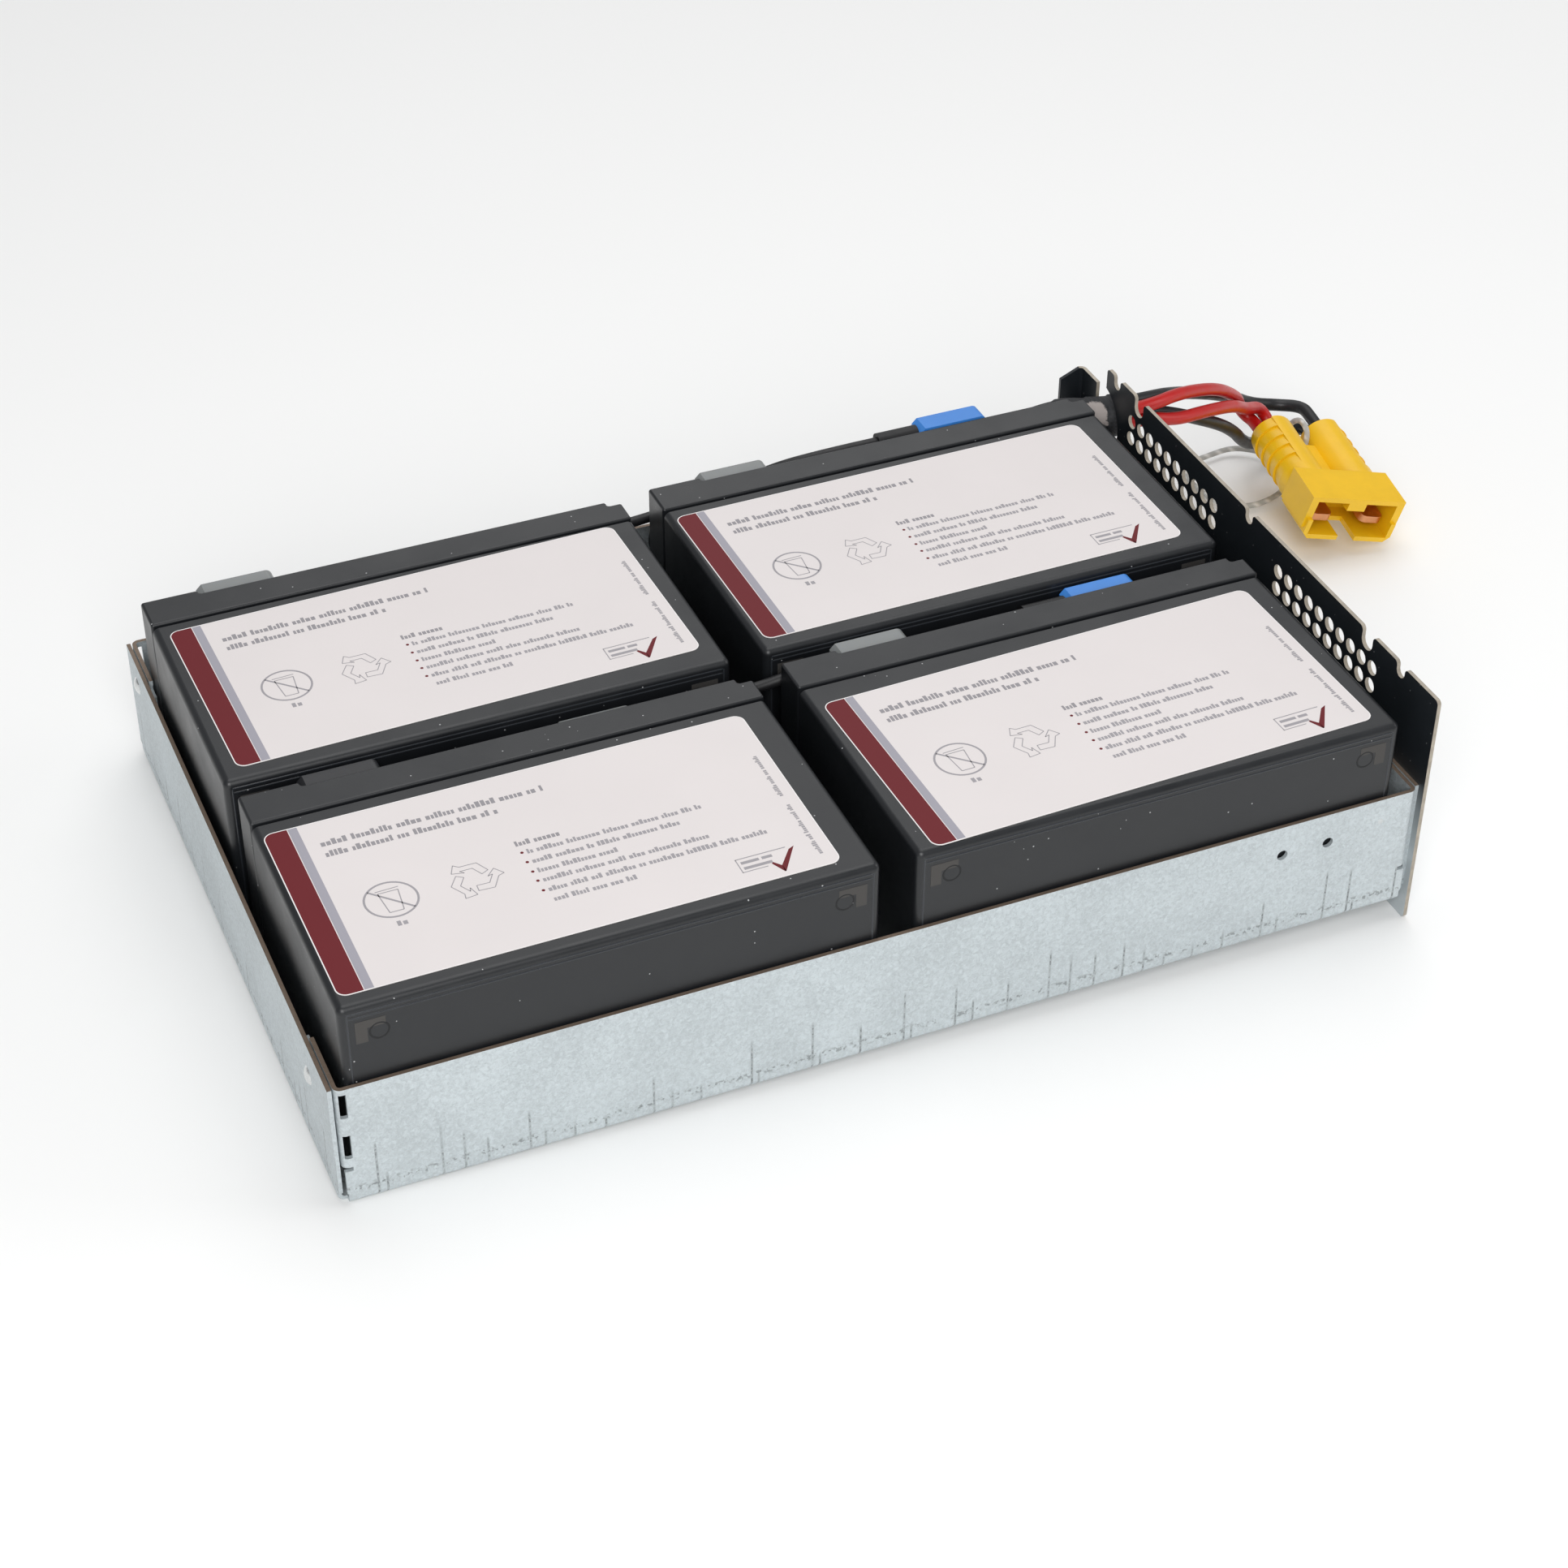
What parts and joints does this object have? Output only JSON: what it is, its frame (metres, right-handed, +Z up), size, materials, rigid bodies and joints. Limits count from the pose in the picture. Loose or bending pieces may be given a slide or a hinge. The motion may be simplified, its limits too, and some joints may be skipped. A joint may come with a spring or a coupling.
{
  "type": "ups battery cartridge",
  "caption": "Shallow galvanised steel tray of sealed batteries lying flat, with a vented end panel and leads to a yellow two-pole connector.",
  "frame": {"origin": "centre of the rigid cartridge's footprint, on the surface it stands on (the end panel's lower edge)", "axes": "+X along the cartridge's length, towards the end panel; +Y towards the back row; +Z up"},
  "size_m": [0.4381, 0.2497, 0.08],
  "materials": {
    "galvanised_steel": "galvanised, fine mottling, satin",
    "black_coated_steel": "smooth black coating, satin",
    "rivet_steel": "satin",
    "battery_case_plastic": "fine matte",
    "battery_lid_plastic": "fine matte",
    "label_film": "semi-gloss printed film",
    "tin_plated_brass": "tin plated",
    "blue_nylon": "satin",
    "clear_nylon": "satin, slightly translucent",
    "black_nylon": "satin",
    "heat_shrink": "satin",
    "black_tape": "cloth tape",
    "red_silicone": "satin",
    "black_rubber": "satin",
    "braided_cord": "braided",
    "yellow_plastic": "satin",
    "copper": "bare copper"
  },
  "bodies": {
    "root": {"back_left_case": "battery_case_plastic", "back_left_label": "label_film", "back_left_left_blade": "tin_plated_brass", "back_left_left_insulator": "clear_nylon", "back_left_lid": "battery_lid_plastic", "back_left_negative_wire": "black_rubber", "back_left_right_blade": "tin_plated_brass", "back_left_right_insulator": "clear_nylon", "back_link_wire": "black_rubber", "back_right_case": "battery_case_plastic", "back_right_label": "label_film", "back_right_left_blade": "tin_plated_brass", "back_right_left_insulator": "clear_nylon", "back_right_lid": "battery_lid_plastic", "back_right_negative_wire": "black_rubber", "back_right_right_blade": "tin_plated_brass", "back_right_right_insulator": "blue_nylon", "back_right_shrink_sleeve": "heat_shrink", "black_lead_lower": "black_rubber", "black_lead_upper": "black_rubber", "connector_housing": "yellow_plastic", "contact_far": "copper", "contact_near": "copper", "end_panel": "black_coated_steel", "front_left_case": "battery_case_plastic", "front_left_label": "label_film", "front_left_left_blade": "tin_plated_brass", "front_left_left_insulator": "black_nylon", "front_left_lid": "battery_lid_plastic", "front_left_negative_wire": "black_rubber", "front_left_right_blade": "tin_plated_brass", "front_left_right_insulator": "clear_nylon", "front_link_wire": "black_rubber", "front_right_case": "battery_case_plastic", "front_right_label": "label_film", "front_right_left_blade": "tin_plated_brass", "front_right_left_insulator": "clear_nylon", "front_right_lid": "battery_lid_plastic", "front_right_positive_wire": "black_rubber", "front_right_right_blade": "tin_plated_brass", "front_right_right_insulator": "blue_nylon", "front_right_shrink_sleeve": "heat_shrink", "left_rivet_back": "rivet_steel", "left_rivet_front": "rivet_steel", "panel_rivet_back": "rivet_steel", "panel_rivet_front": "rivet_steel", "pull_cord": "braided_cord", "red_lead_lower": "red_silicone", "red_lead_upper": "red_silicone", "taped_bundle": "black_tape", "tray": "galvanised_steel"}
  },
  "joints": []
}
